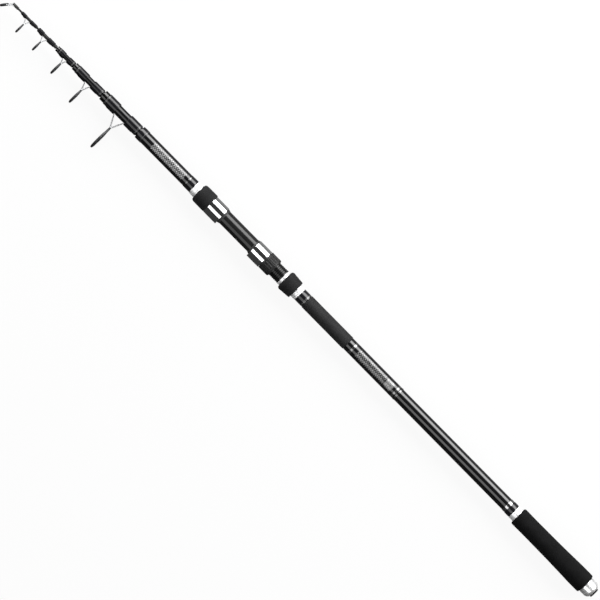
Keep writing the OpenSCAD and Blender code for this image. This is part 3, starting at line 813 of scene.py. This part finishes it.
coat("lower_thread", 166.9, 176.0, 0.75, thread_wrap("wrap_lower"), "lower_wrap", "wrap")
coat("lower_trim", 176.05, 181.3, 0.4, M["trim"], "lower_band", "trim", ramp=0.7)
coat("label_trim", 404.6, 408.0, 0.6, M["soft_trim"], "label_band", "trim", ramp=0.6)
coat("label_print", 408.05, 509.0, 0.35, M["label"], "label_sleeve", "label", ramp=0.5, swell=0.0)
coat("fore_shrink", 509.1, 594.5, 1.05, M["sleeve"], "fore_sleeve", "sleeve", ramp=0.8, swell=0.0)
coat(
    "fore_thread", 594.6, 608.5, 0.7,
    thread_wrap("wrap_fore", [(0.5954, 0.5980)]), "fore_wrap", "wrap",
)
coat("upper_thread", 827.3, 838.0, 0.4, thread_wrap("wrap_upper"), "upper_wrap", "wrap")
coat("upper_trim", 838.05, 840.6, 0.4, M["soft_trim"], "upper_band", "trim", ramp=0.5)
coat("mouth_thread", 927.5, 939.6, 0.6, thread_wrap("wrap_mouth", [(0.9300, 0.9306)]), "mouth_wrap", "wrap", ramp=2.0)

bumper = [(617.0, 13.1), (617.1, 13.7), (617.5, 14.3), (618.1, 14.55), (618.8, 14.7)]
bumper += [(624.0, 15.12), (624.6, 15.05), (625.0, 14.95), (625.4, 15.08), (626.0, 15.26)]
bumper += [(630.0, 15.56), (630.6, 15.5), (631.0, 15.4), (631.4, 15.52), (632.0, 15.74)]
bumper += [(634.8, 16.0), (635.6, 16.1), (636.4, 16.0), (637.2, 15.74), (638.0, 15.25), (638.7, 14.68), (639.2, 14.15), (639.4, 13.8)]
turned(
    "bumper_rubber", bumper + [(639.4, butt_r(639.0) + 0.02), (617.0, butt_r(617.0) + 0.02)],
    M["ring_rubber"], "butt", ["bumper_ring"], "ring_rubber", nth=112,
)
front = [(793.1, 14.1), (793.2, 14.7), (793.6, 15.15), (794.2, 15.38), (795.0, 15.43), (803.5, 15.43), (804.0, 15.36), (804.4, 15.24)]
front += [(804.8, 15.34), (805.3, 15.4), (812.6, 15.28), (814.6, 15.0), (816.0, 14.45), (816.9, 13.7), (817.4, 12.9), (817.5, 12.2)]
turned(
    "front_rubber", front + [(817.5, butt_r(817.0) + 0.02), (793.1, butt_r(793.0) + 0.02)],
    M["ring_rubber"], "butt", ["front_ring"], "ring_rubber", nth=112,
)
spacer = [(639.5, 11.6), (639.62, 11.95), (640.0, 12.1), (641.3, 12.1), (641.5, 11.96), (641.8, 11.96), (642.0, 12.1), (643.3, 12.1), (643.68, 11.95), (643.8, 11.6)]
turned(
    "seat_spacer_ring", spacer + [(643.8, butt_r(643.0) + 0.02), (639.5, butt_r(639.0) + 0.02)],
    M["aluminium"], "butt", ["seat_spacer"], "aluminium",
)

# ---------------------------------------------------------------- reel seat


def corner_r(a, cy, cz, c):
    """Distance from the axis to the far side of a corner circle, along angle a."""
    k = math.cos(a) * cy + math.sin(a) * cz
    return k + math.sqrt(max(0.0, k * k - cy * cy - cz * cz + c * c))


def smax(a, b, k):
    return 0.5 * (a + b + math.sqrt((a - b) ** 2 + k * k))


def hood_outer(a, d=0.0):
    """Round shell, flat flanks that touch it, and the rounded roof over the reel foot."""
    a = abs((a + math.pi) % TAU - math.pi)
    R, top, c = 14.2 - d, 15.35 - d, 3.2 - d
    cy, cz = 12.15, 4.15
    flank = math.atan2(cz, cy) + math.acos((14.2 - 3.2) / math.hypot(cy, cz))
    if a >= flank:
        return R
    if a >= math.atan2(cz + c * math.sin(flank), cy + c * math.cos(flank)):
        return R / math.cos(a - flank)
    if a <= math.atan2(cz, top):
        return top / math.cos(a)
    return corner_r(a, cy, cz, c)


def hood_pocket(a, d=0.0):
    """Inside of a hood: the round bore and the rounded box for the reel foot."""
    a = abs((a + math.pi) % TAU - math.pi)
    w, h, c = 6.4 + d, 14.75 + d, 2.4
    if a <= math.atan2(w - c, h):
        b = h / math.cos(a)
    elif a <= math.atan2(w, h - c):
        b = corner_r(a, h - c, w - c, c)
    else:
        b = w / max(1e-6, math.sin(a)) if a < math.pi / 2 else 0.0
    return max(13.17 + d, b)


def hood(name, mouth, back_end, node, body):
    """Plated reel hood: rolled lip at the mouth, rounded back edge, open foot pocket."""
    s = 1.0 if back_end > mouth else -1.0
    L = abs(back_end - mouth)

    def O(d):
        return lambda a: hood_outer(a, d)

    def P(d):
        return lambda a: hood_pocket(a, d)

    rows = []
    for du, d in (
        (0.0, 0.42), (0.10, 0.18), (0.32, 0.03), (0.62, 0.0), (1.5, 0.0), (2.0, 0.03), (2.25, 0.14), (2.5, 0.18), (2.75, 0.14),
        (3.0, 0.04), (3.5, 0.0), (L * 0.5, 0.0), (L - 4.2, 0.0), (L - 3.7, 0.04), (L - 3.45, 0.16), (L - 3.2, 0.20),
        (L - 2.95, 0.16), (L - 2.7, 0.04), (L - 2.2, 0.0), (L - 0.9, 0.0), (L - 0.45, 0.09), (L - 0.15, 0.30), (L, 0.62),
    ):
        rows.append((mouth + s * du, O(d)))
    rows.append((mouth + s * L, P(0.12)))
    rows.append((mouth + s * (L - 0.2), P(0.0)))
    rows.append((mouth + s * 0.4, P(0.0)))
    rows.append((mouth + s * 0.1, P(0.10)))
    rows.append((mouth, P(0.28)))
    v, f = rings(rows, 216, True)
    return link(name, mesh(name, v, f), M["chrome"], body, [node], "chrome", 30.0)


hood("fixed_hood_shell", 768.5, 793.0, "fixed_hood", "butt")
hood("sliding_hood_shell", 703.3, 680.0, "sliding_hood", "hood")


def nut_r(u):
    """How deep the finger flutes are at u: they fade at both ends."""
    a = max(0.0, min(1.0, (u - 664.2) / 1.2))
    b = max(0.0, min(1.0, (677.4 - u) / 1.2))
    return math.sin(min(a, b) * math.pi / 2)


def fluted(base, u):
    k = nut_r(u)

    def r(a):
        t = (a / TAU * 24.0) % 1.0
        d = abs(t - 0.5) * 2.0
        cut = 0.62 * max(0.0, 1.0 - ((1.0 - d) / 0.55) ** 2) if (1.0 - d) < 0.55 else 0.0
        return base - cut * k

    return r


nut_rows = [(661.0, 13.1), (661.05, 13.4), (661.3, 13.75), (662.4, 14.5), (662.9, 14.74), (663.4, 14.8), (664.1, 14.8)]
nut_rows += [(u, fluted(14.8, u)) for u in (664.5, 664.9, 665.4, 668.0, 671.0, 674.0, 676.2, 676.7, 677.1)]
nut_rows += [(677.5, 14.8), (678.9, 14.8), (679.35, 14.7), (679.6, 14.5), (679.7, 14.2), (679.7, 12.5), (679.3, 12.12)]
nut_rows += [(670.0, 12.1), (661.4, 12.12), (661.0, 12.5)]
v, f = rings(nut_rows, 240, True)
link("lock_nut_body", mesh("lock_nut_body", v, f), M["nut"], "nut", ["lock_nut"], "seat_plastic", 28.0)

# ---------------------------------------------------------------- butt cap

cap = [(3.6, 0.0001), (3.6, 7.7), (2.55, 7.7), (2.4, 7.85), (2.4, 8.35)]
cap += curve([(2.4, 8.35), (2.65, 8.75), (3.35, 9.65), (4.1, 10.5), (5.05, 11.35), (6.1, 12.0), (7.4, 12.55), (8.9, 12.9)], 2)[1:]
cap += [(10.4, 12.93), (10.65, 12.82), (10.8, 12.55), (11.2, 12.5), (11.6, 12.55), (11.75, 12.82), (12.0, 12.93)]
cap += [(16.4, 12.93), (17.6, 12.9), (18.2, 12.8), (18.55, 12.6), (18.7, 12.3), (18.7, 7.4), (18.9, 7.1)]
for i in range(11):
    u = 20.6 + i * 1.1
    cap += [(u, 7.1), (u + 0.3, 6.82), (u + 0.62, 6.82), (u + 0.92, 7.1)]
cap += [(33.4, 7.08), (34.0, 6.55), (34.0, 5.1), (33.8, 5.0), (12.2, 5.0), (12.0, 4.8), (12.0, 0.0001)]
turned("butt_cap_metal", cap, M["cap"], "cap", ["butt_cap"], "aluminium", nth=112, closed=False)

pad = [(0.0, 0.0001), (0.0, 2.4), (0.35, 2.7), (0.35, 3.3), (0.0, 3.6), (0.0, 6.2)]
pad += curve([(0.0, 6.2), (0.05, 6.75), (0.22, 7.15), (0.5, 7.42), (0.9, 7.58), (1.3, 7.64)], 2)[1:]
pad += [(3.58, 7.65), (3.58, 0.0001)]
turned("cap_pad_rubber", pad, M["pad"], "cap", ["cap_pad"], "soft_rubber", nth=80, closed=False)

# ---------------------------------------------------------------- sections

SECTIONS = {
    "section2": dict(
        outer=[(42.0, 8.5), (1015.0, 7.7)], inner=[(42.0, 7.3), (1015.0, 6.38)],
        ur=973.7, y=49.7, r=16.3, bore=13.0, w=3.6, band=2.7, meet=25.0, t=1.7, spread=42.0,
        feet=[(983.6, 1003.0), (965.6, 945.5)], wraps=[(985.2, 1007.6), (941.0, 964.0)], rise=1.35,
        trim=(1007.9, 1015.0, 8.3), legw=3.2, coat=0.8,
    ),
    "section3": dict(
        outer=[(42.0, 6.5), (1074.0, 5.4)], inner=[(42.0, 5.3), (814.0, 4.37), (1074.0, 4.29)],
        ur=1042.0, y=32.0, r=10.9, bore=8.3, w=3.2, band=2.4, meet=16.4, t=1.45, spread=44.0,
        feet=[(1046.2, 1064.0), (1037.6, 1020.5)], wraps=[(1047.6, 1068.6), (1016.5, 1036.4)], rise=1.15,
        trim=(1068.8, 1074.0, 6.0), legw=3.0, coat=0.45,
    ),
    "section4": dict(
        outer=[(42.0, 4.3), (1110.0, 3.9)], inner=[(42.0, 3.3), (904.0, 3.0), (1110.0, 2.69)],
        ur=1090.6, y=22.7, r=9.85, bore=7.45, w=3.0, band=2.3, meet=10.6, t=1.3, spread=44.0,
        feet=[(1093.4, 1104.0), (1087.8, 1077.5)], wraps=[(1094.4, 1106.0), (1075.0, 1086.8)], rise=0.9,
        trim=(1106.2, 1110.0, 4.4), legw=2.8, coat=0.22,
    ),
}
THIN = 0.76


def guide_shells(ur, yc, r, r_in, band, meet, t, legw, feet, foot_y, spread, arm=0.54, top=2.2):
    """Ring seat, two legs with ground feet, and the fork that carries the ring."""
    shells = [torus_band((ur, yc, 0.0), r_in, r, band, 0.28 * band)]
    tf = t * THIN
    for k, (u_heel, u_toe) in enumerate(feet):
        s = 1.0 if u_toe > u_heel else -1.0
        y0 = foot_y((u_heel + u_toe) / 2)
        w = legw * (1.0, 0.985)[k]
        pts = [
            (u_toe, foot_y(u_toe) + tf * 0.25, 0.0), (u_toe - s * 5.0, y0 + tf / 2, 0.0), (u_heel + s * 0.3, y0 + t / 2, 0.0),
            (ur + s * 0.55 * t, meet - 0.1 - 0.04 * k, 0.0), (ur + s * 0.04, meet + top + 0.05 * k, 0.0),
        ]
        path = refine(bend(pts, [4.0, 1.6 * t, 1.6 * t], 8), 2.0)
        sizes = []
        for x, y, z in path:
            near = max(0.0, min(1.0, abs(x - u_toe) / 5.0))
            lift = max(0.0, min(1.0, (y - y0 - t / 2) / max(1.0, meet - y0 - t)))
            ta = tf / 2 * (0.5 + 0.5 * near) * (1.0 - lift) ** 4 + t / 2 * 1.36 * (1.0 - (1.0 - lift) ** 4)
            sizes.append((w / 2 * (0.62 + 0.38 * math.sqrt(near)) * (1.0 - 0.12 * lift), ta))
        shells.append(sweep(path, sizes, (0, 0, 1)))
    rm = (r + r_in) / 2
    for k, sgn in enumerate((1.0, -1.0)):
        th = math.radians(spread)
        end = (ur, yc - rm * math.cos(th * 1.45), sgn * rm * math.sin(th * 1.45))
        flank = (ur, yc - rm * math.cos(th * 1.05), sgn * (rm * math.sin(th * 1.05) + 0.3))
        knee = (ur, meet + (yc - rm * math.cos(th) - meet) * 0.42, sgn * rm * math.sin(th) * 0.62)
        pts = [(ur, meet - 0.6, sgn * 0.02), (ur, meet + 0.8, sgn * 0.35), knee, flank, end]
        path = refine(bend(pts, [2.0, 0.5 * rm, 0.5 * rm], 7), 1.6)
        half = band * arm * (1.0, 0.99)[k]
        shells.append(sweep(path, [(half, half * 0.95)] * len(path), (1, 0, 0), 18))
    return shells


def foot_wrap(name, spans, line, rise, t, w, dip, feet, mat, body, node, nth=72, ramp=2.0):
    """Thread over each foot: thick round the blank, a low hump over the foot, rounded off at both ends."""
    shells = []
    tf = t * THIN
    for (u0, u1), (heel, toe) in zip(spans, feet):
        rows = []
        n = 26
        s = 1.0 if toe > heel else -1.0
        run = min(ramp, 0.3 * (u1 - u0))
        stops = sorted({u0 + run * k for k in (0.0, 0.08, 0.25, 0.5, 0.75, 1.0)} | {u1 - run * k for k in (0.0, 0.08, 0.25, 0.5, 0.75, 1.0)}
                       | {u0 + run + (u1 - u0 - 2 * run) * i / n for i in range(1, n)})
        for u in stops:
            e = max(0.0, min(1.0, min(u - u0, u1 - u) / run))
            e = math.sqrt(1.0 - (1.0 - e) ** 2)
            past = (toe - u) * s
            h = max(0.0, min(1.0, (past + 1.2) / 6.0))
            h = h * h * (3 - 2 * h)
            base = line(u)

            def R(a, base=base, e=e, h=h):
                c = base + 0.04 + rise * (0.25 + 0.75 * e)
                cy = base + 0.02 - dip
                rr = math.hypot(w / 2, dip + tf) + 0.30 - (1.0 - h) * (tf + 0.5) - (1.0 - e) * 0.55
                k = math.cos(a) * cy
                q = k * k - cy * cy + rr * rr
                if rr <= 0 or q <= 0 or math.cos(a) <= 0:
                    return c
                b = k + math.sqrt(q)
                return smax(c, b, 0.30) - 0.05

            rows.append((u, R))
        rows.append((u1, line(u1) + 0.02))
        rows.append((u0, line(u0) + 0.02))
        shells.append(rings(rows, nth, True))
    verts, faces = [], []
    for v, f in shells:
        k = len(verts)
        verts += v
        faces += [tuple(i + k for i in q) for q in f]
    return link(name, mesh(name, verts, faces), mat, body, [node], "wrap", 40.0)


for sec, g in SECTIONS.items():
    o = g["outer"]

    def line(u, o=o):
        return lerp(u, o[0][0], o[0][1], o[1][0], o[1][1])

    tube(f"{sec}_tube", o, g["inner"], M[sec], sec, [f"{sec}_blank"], "blank", lip=0.22, nth=80)
    r_in = g["bore"] + (g["r"] - g["bore"]) * 0.52
    me = united(
        f"{sec}_frame",
        guide_shells(g["ur"], g["y"], g["r"], r_in, g["band"], g["meet"], g["t"], g["legw"], g["feet"], lambda u: line(u) + 0.02, g["spread"]),
    )
    ob = link(f"{sec}_frame", me, M["steel"], sec, [f"{sec}_guide_frame"], "guide_steel", 40.0)
    repaint(ob, M["black_chrome"], lambda c: c.y > g["meet"] + 1.1)
    v, f = ring_from(insert_profile(g["bore"], r_in + 0.02, g["w"]), (g["ur"], g["y"], 0.0), (1, 0, 0), 80)
    link(f"{sec}_ceramic", mesh(f"{sec}_ceramic", v, f), M["ceramic"], sec, [f"{sec}_guide_ring"], "ring_insert", 40.0)
    (a0, a1), (b0, b1) = g["wraps"]
    inlay = [(a1 * MM - 0.0022, a1 * MM - 0.0016), (b0 * MM + 0.0016, b0 * MM + 0.0022), (a1 * MM - 0.0034, a1 * MM - 0.0030), (b0 * MM + 0.0030, b0 * MM + 0.0034)]
    foot_wrap(f"{sec}_threads", g["wraps"], line, g["rise"], g["t"], g["legw"], 2.0, g["feet"], thread_wrap(f"wrap_{sec}", inlay, coat=g["coat"]), sec, f"{sec}_wraps")
    u0, u1, rt = g["trim"]
    turned(
        f"{sec}_trim",
        [(u0, rt - 0.3), (u0 + 0.1, rt - 0.1), (u0 + 0.35, rt), ((u0 + u1) / 2 - 0.35, rt), ((u0 + u1) / 2 - 0.15, rt - 0.13), ((u0 + u1) / 2 + 0.15, rt - 0.13),
         ((u0 + u1) / 2 + 0.35, rt), (u1 - 0.5, rt), (u1 - 0.12, rt - 0.12), (u1, rt - 0.34), (u1, line(u1) + 0.02), (u0, line(u0) + 0.02)],
        M["dark_trim"], sec, [f"{sec}_mouth_trim"], "trim", nth=80,
    )

# ---------------------------------------------------------------- tip section


tube("tip_rod", [(42.0, 2.9), (260.0, 2.55), (1198.0, 1.45)], None, M["tip"], "tip", ["tip_blank"], "blank", lip=0.2, nth=48)

dx, dy = 0.604, 0.797
axis = (dy, -dx, 0.0)
c_tip = (1208.8, 10.3, 0.0)
top_shells = []
socket = [(1190.0, 1.62), (1190.0, 2.0), (1190.2, 2.17), (1190.6, 2.25), (1191.8, 2.25), (1192.0, 2.15), (1192.3, 2.15), (1192.5, 2.25), (1200.2, 2.25), (1201.0, 2.0), (1201.5, 1.5)]
v, f = rings(socket + [(1201.6, 0.8), (1201.6, 0.02), (1198.3, 0.02), (1198.06, 1.52), (1190.15, 1.52)], 40, True)
top_shells.append((v, f))
r_top, b_top = 6.9, 4.8
r_seat = b_top + (r_top - b_top) * 0.52
top_shells.append(torus_band(c_tip, r_seat, r_top, 2.2, 0.6, axis, 60))
low = Vector(c_tip) - Vector((dx, dy, 0)) * ((r_top + r_seat) / 2)
path = refine(bend([(1199.6, 0.2, 0.0), (1201.9, 1.9, 0.0), tuple(low - Vector((0.35, 0.45, 0))), tuple(low + Vector((dx, dy, 0)) * 0.5)], [2.0, 1.4], 6), 1.2)
top_shells.append(sweep(path, [(1.25, 0.85)] * len(path), (0, 0, 1), 16))
for sgn in (1.0, -1.0):
    rm = (r_top + r_seat) / 2

    def on(deg, lift=0.0):
        a = math.radians(deg)
        w = Vector((dx, dy, 0)) * (-(rm + lift) * math.cos(a)) + Vector((0, 0, 1)) * (sgn * (rm + lift) * math.sin(a))
        return tuple(Vector(c_tip) + w)

    pts = [(1196.2, 1.60, sgn * 1.05), (1200.2, 2.3, sgn * 1.6), tuple(Vector(on(50, 0.5)) - Vector(axis) * 1.4), on(62, -0.1)]
    path = refine(bend(pts, [2.5, 3.0], 6), 1.4)
    top_shells.append(sweep(path, [(0.62, 0.62)] * len(path), (0.3, 1, 0), 14, 2.0))
me = united("tip_top_metal", top_shells)
ob = link("tip_top_metal", me, M["steel"], "tip", ["tip_top_frame"], "float_steel", 40.0)
repaint(
    ob, M["black_chrome"],
    lambda c: (c - Vector(c_tip)).length < r_top + 0.05 and abs((c - Vector(c_tip)).dot(Vector(axis))) < 1.15,
)
repaint(ob, M["nut"], lambda c: math.hypot(c.y, c.z) < 2.28 and c.x < 1200.7)
v, f = ring_from(insert_profile(b_top, r_seat + 0.02, 3.4), c_tip, axis, 64)
link("tip_top_ceramic", mesh("tip_top_ceramic", v, f), M["ceramic"], "tip", ["tip_top_ring"], "ring_insert", 40.0)

FLOATS = {
    "lower_float": dict(
        ur=1133.4, y=21.0, r=6.9, bore=4.9, meet=9.4, t=1.0, legw=2.2, dip=0.8, rise=0.7, ends=(1111.2, 1149.0), hole=2.24, out=2.8, w=2.7,
        feet=[(1137.0, 1146.4), (1129.6, 1118.0)], wraps=[(1138.2, 1148.2), (1115.6, 1128.4)],
    ),
    "upper_float": dict(
        ur=1168.9, y=20.3, r=6.5, bore=4.55, meet=9.2, t=0.9, legw=1.8, dip=0.6, rise=0.45, ends=(1151.0, 1183.0), hole=1.88, out=2.2, w=2.6,
        feet=[(1172.4, 1180.2), (1165.4, 1155.0)], wraps=[(1173.6, 1182.0), (1152.6, 1164.2)],
    ),
}

for nm, g in FLOATS.items():
    u0, u1 = g["ends"]
    o, h = g["out"], g["hole"]
    prof = [(u0, h + 0.12), (u0, o - 0.18), (u0 + 0.08, o - 0.06), (u0 + 0.25, o), (u0 + 0.9, o), (u0 + 1.05, o - 0.08), (u0 + 1.25, o - 0.08), (u0 + 1.4, o)]
    prof += [(u0 + (u1 - u0) * k / 8, o) for k in range(1, 8)]
    prof += [(u1 - 0.25, o), (u1 - 0.08, o - 0.06), (u1, o - 0.18), (u1, h + 0.12), (u1 - 0.3, h), (u0 + 0.3, h)]
    turned(f"{nm}_tube", prof, M["nut"], nm, [f"{nm}_sleeve"], "seat_plastic", nth=48)
    r_in = g["bore"] + (g["r"] - g["bore"]) * 0.52
    me = united(
        f"{nm}_metal",
        guide_shells(g["ur"], g["y"], g["r"], r_in, 2.1, g["meet"], g["t"], g["legw"], g["feet"], lambda u: o + 0.02, 42.0, 0.52, 1.4),
    )
    ob = link(f"{nm}_metal", me, M["steel"], nm, [f"{nm}_frame"], "float_steel", 40.0)
    repaint(ob, M["black_chrome"], lambda c: c.y > g["meet"] + 0.7)
    foot_wrap(
        f"{nm}_threads", g["wraps"], lambda u: o, g["rise"], g["t"], g["legw"], g["dip"], g["feet"],
        thread_wrap(f"wrap_{nm}", coat=0.18), nm, f"{nm}_wraps", 56, 1.4,
    )
    v, f = ring_from(insert_profile(g["bore"], r_in + 0.02, g["w"]), (g["ur"], g["y"], 0.0), (1, 0, 0), 64)
    link(f"{nm}_ceramic", mesh(f"{nm}_ceramic", v, f), M["ceramic"], nm, [f"{nm}_ring"], "ring_insert", 40.0)

# ---------------------------------------------------------------- carried-over nodes

KEEP = {
    "butt_bush": "aluminium", "seat_body": "seat", "seat_bed": "seat", "seat_front": "nut", "fixed_liner": "nut", "hood_stop": "nut", "hood_liner": "nut", "cap_seal": "pad", "section_buffer": "pad",
}
for node, key in KEEP.items():
    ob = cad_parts[node]
    for one in ob if isinstance(ob, (list, tuple)) else [ob]:
        if not one.material_slots:
            one.data.materials.append(M[key])
        for s in one.material_slots:
            s.material = M[key]

# ---------------------------------------------------------------- studio

floor_z = min(cad_lo.z, -0.0163) - 0.0004


def disc(name, radius, z, n=96, flip=False):
    me = bpy.data.meshes.new(name)
    vs = [(radius * math.cos(TAU * i / n) + 0.6, radius * math.sin(TAU * i / n), z) for i in range(n)]
    me.from_pydata(vs, [], [tuple(range(n))])
    ob = bpy.data.objects.new(name, me)
    bpy.context.scene.collection.objects.link(ob)
    return ob


def stage_paint(name, diffuse, glow):
    m = bpy.data.materials.new(name)
    m.use_nodes = True
    b = m.node_tree.nodes["Principled BSDF"]
    b.inputs["Base Color"].default_value = (diffuse, diffuse, diffuse, 1.0)
    b.inputs["Roughness"].default_value = 0.9
    b.inputs["Specular IOR Level"].default_value = 0.1
    b.inputs["Emission Color"].default_value = (1.0, 1.0, 1.0, 1.0)
    b.inputs["Emission Strength"].default_value = glow
    return m


floor = disc("floor", 47.5, floor_z)
floor.data.materials.append(stage_paint("floor_white", 0.04, 0.92))
floor.visible_glossy = False

dome_me = bpy.data.meshes.new("backdrop")
bm = bmesh.new()
bmesh.ops.create_uvsphere(bm, u_segments=64, v_segments=32, radius=48.0)
bmesh.ops.translate(bm, verts=bm.verts, vec=(0.6, 0.0, 0.0))
bmesh.ops.reverse_faces(bm, faces=bm.faces)
bm.to_mesh(dome_me)
bm.free()
dome = bpy.data.objects.new("backdrop", dome_me)
bpy.context.scene.collection.objects.link(dome)
dome.data.materials.append(stage_paint("backdrop_white", 0.0, 0.925))
for k in ("visible_glossy", "visible_diffuse", "visible_transmission", "visible_shadow", "visible_volume_scatter"):
    setattr(dome, k, False)


def softbox(name, y0, z0, y1, z1, radiance, length=7.0, x=1.7):
    """A long light panel whose section runs from (y0, z0) to (y1, z1), facing the rod."""
    a, b = Vector((x, y0, z0)), Vector((x, y1, z1))
    mid = (a + b) / 2
    side = (b - a).normalized()
    ld = bpy.data.lights.new(name, "AREA")
    ld.shape = "RECTANGLE"
    ld.size = length
    ld.size_y = (b - a).length
    ld.energy = radiance * math.pi * ld.size * ld.size_y
    ob = bpy.data.objects.new(name, ld)
    bpy.context.scene.collection.objects.link(ob)
    ex = Vector((1.0, 0.0, 0.0))
    ez = ex.cross(side)
    if ez.dot(Vector((x, 0.0, 0.0)) - mid) > 0:
        side = -side
        ez = ex.cross(side)
    ob.matrix_world = Matrix(((ex.x, side.x, ez.x, mid.x), (ex.y, side.y, ez.y, mid.y), (ex.z, side.z, ez.z, mid.z), (0, 0, 0, 1)))
    ob.visible_camera = False
    return ob


def polar(deg, dist):
    a = math.radians(deg)
    return dist * math.sin(a), dist * math.cos(a)


y0, z0 = polar(-40, 1.30)
y1, z1 = polar(-76, 1.30)
softbox("key_panel", y0, z0, y1, z1, 6.5)
y0, z0 = polar(-32, 1.55)
y1, z1 = polar(-89, 1.60)
softbox("wide_panel", y0, z0, y1, z1, 1.25)
y0, z0 = polar(17, 1.6)
y1, z1 = polar(52, 1.6)
softbox("fill_panel", y0, z0, y1, z1, 1.9)

world = bpy.data.worlds.new("studio")
bpy.context.scene.world = world
world.use_nodes = True
wt = world.node_tree
bg = wt.nodes["Background"]
tc = wt.nodes.new("ShaderNodeTexCoord")
lean = wt.nodes.new("ShaderNodeVectorMath")
lean.operation = "DOT_PRODUCT"
wt.links.new(tc.outputs["Generated"], lean.inputs[0])
lean.inputs[1].default_value = (0.0, -0.42, -0.90)
mr = wt.nodes.new("ShaderNodeMapRange")
mr.interpolation_type = "SMOOTHSTEP"
wt.links.new(lean.outputs["Value"], mr.inputs[0])
for i, k in enumerate((0.30, 0.80, 0.04, 0.24)):
    mr.inputs[1 + i].default_value = k
cc = wt.nodes.new("ShaderNodeCombineColor")
for i in range(3):
    wt.links.new(mr.outputs[0], cc.inputs[i])
wt.links.new(cc.outputs[0], bg.inputs["Color"])
bg.inputs["Strength"].default_value = 1.0

bpy.context.scene.view_settings.view_transform = "Standard"
bpy.context.scene.view_settings.look = "None"
